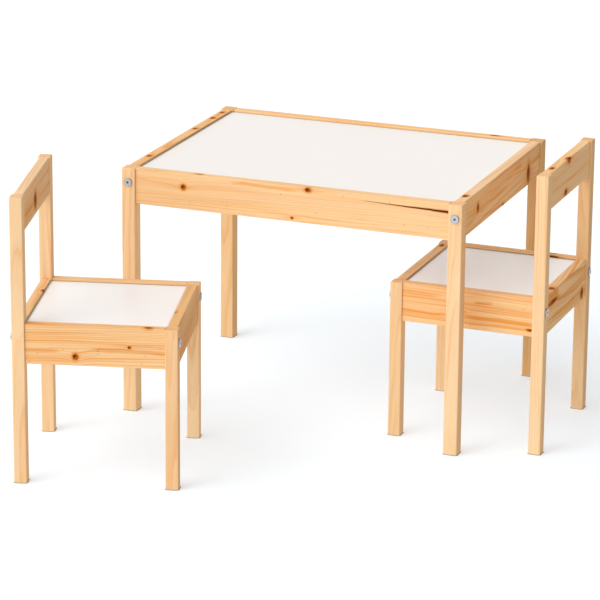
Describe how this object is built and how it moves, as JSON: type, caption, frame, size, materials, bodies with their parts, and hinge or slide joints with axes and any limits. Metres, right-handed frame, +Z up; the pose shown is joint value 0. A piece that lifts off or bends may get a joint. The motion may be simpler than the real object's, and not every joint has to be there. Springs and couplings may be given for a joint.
{
  "type": "kids table and chairs",
  "caption": "Pine children's table with a white inset top and matching low-back chairs: flat-pack frames joined by dowels, furniture bolts and barrel nuts.",
  "frame": {"origin": "the floor under the middle of the whole set's box, with the chairs standing where they rest", "axes": "+Z is up. +X runs along the table's long side, to the right as the set is seen from the front. +Y runs from the front of the table to its rear."},
  "size_m": [0.858, 0.8906, 0.5],
  "materials": {
    "pine": "clear satin lacquer on planed pine",
    "white_panel": "satin white coated fibreboard",
    "zinc": "bright zinc plate"
  },
  "bodies": {
    "table": {"table_leg_front_left": "pine", "table_leg_front_right": "pine", "table_leg_rear_left": "pine", "table_leg_rear_right": "pine", "table_rail_front": "pine", "table_rail_rear": "pine", "table_rail_left": "pine", "table_rail_right": "pine", "table_top_panel": "white_panel", "table_bolt_front_left": "zinc", "table_bolt_front_right": "zinc", "table_bolt_rear_left": "zinc", "table_bolt_rear_right": "zinc", "table_nut_front_left": "zinc", "table_nut_front_right": "zinc", "table_nut_rear_left": "zinc", "table_nut_rear_right": "zinc"},
    "left_chair": {"left_chair_leg_front_left": "pine", "left_chair_leg_front_right": "pine", "left_chair_post_rear_left": "pine", "left_chair_post_rear_right": "pine", "left_chair_rail_front": "pine", "left_chair_rail_rear": "pine", "left_chair_rail_left": "pine", "left_chair_rail_right": "pine", "left_chair_backrest": "pine", "left_chair_seat_panel": "white_panel", "left_chair_bolt_front_left": "zinc", "left_chair_bolt_front_right": "zinc", "left_chair_bolt_rear_left": "zinc", "left_chair_bolt_rear_right": "zinc", "left_chair_nut_front_left": "zinc", "left_chair_nut_front_right": "zinc", "left_chair_nut_rear_left": "zinc", "left_chair_nut_rear_right": "zinc"},
    "right_chair": {"right_chair_leg_front_left": "pine", "right_chair_leg_front_right": "pine", "right_chair_post_rear_left": "pine", "right_chair_post_rear_right": "pine", "right_chair_rail_front": "pine", "right_chair_rail_rear": "pine", "right_chair_rail_left": "pine", "right_chair_rail_right": "pine", "right_chair_backrest": "pine", "right_chair_seat_panel": "white_panel", "right_chair_bolt_front_left": "zinc", "right_chair_bolt_front_right": "zinc", "right_chair_bolt_rear_left": "zinc", "right_chair_bolt_rear_right": "zinc", "right_chair_nut_front_left": "zinc", "right_chair_nut_front_right": "zinc", "right_chair_nut_rear_left": "zinc", "right_chair_nut_rear_right": "zinc"}
  },
  "joints": [
    {"name": "left_chair_slide", "type": "slide", "parent": "table", "child": "left_chair", "axis": [0.9659, 0.2588, 0], "range_m": [-0.3, 0.2]},
    {"name": "right_chair_slide", "type": "slide", "parent": "table", "child": "right_chair", "axis": [-1, 0, 0], "range_m": [-0.35, 0.108]}
  ]
}
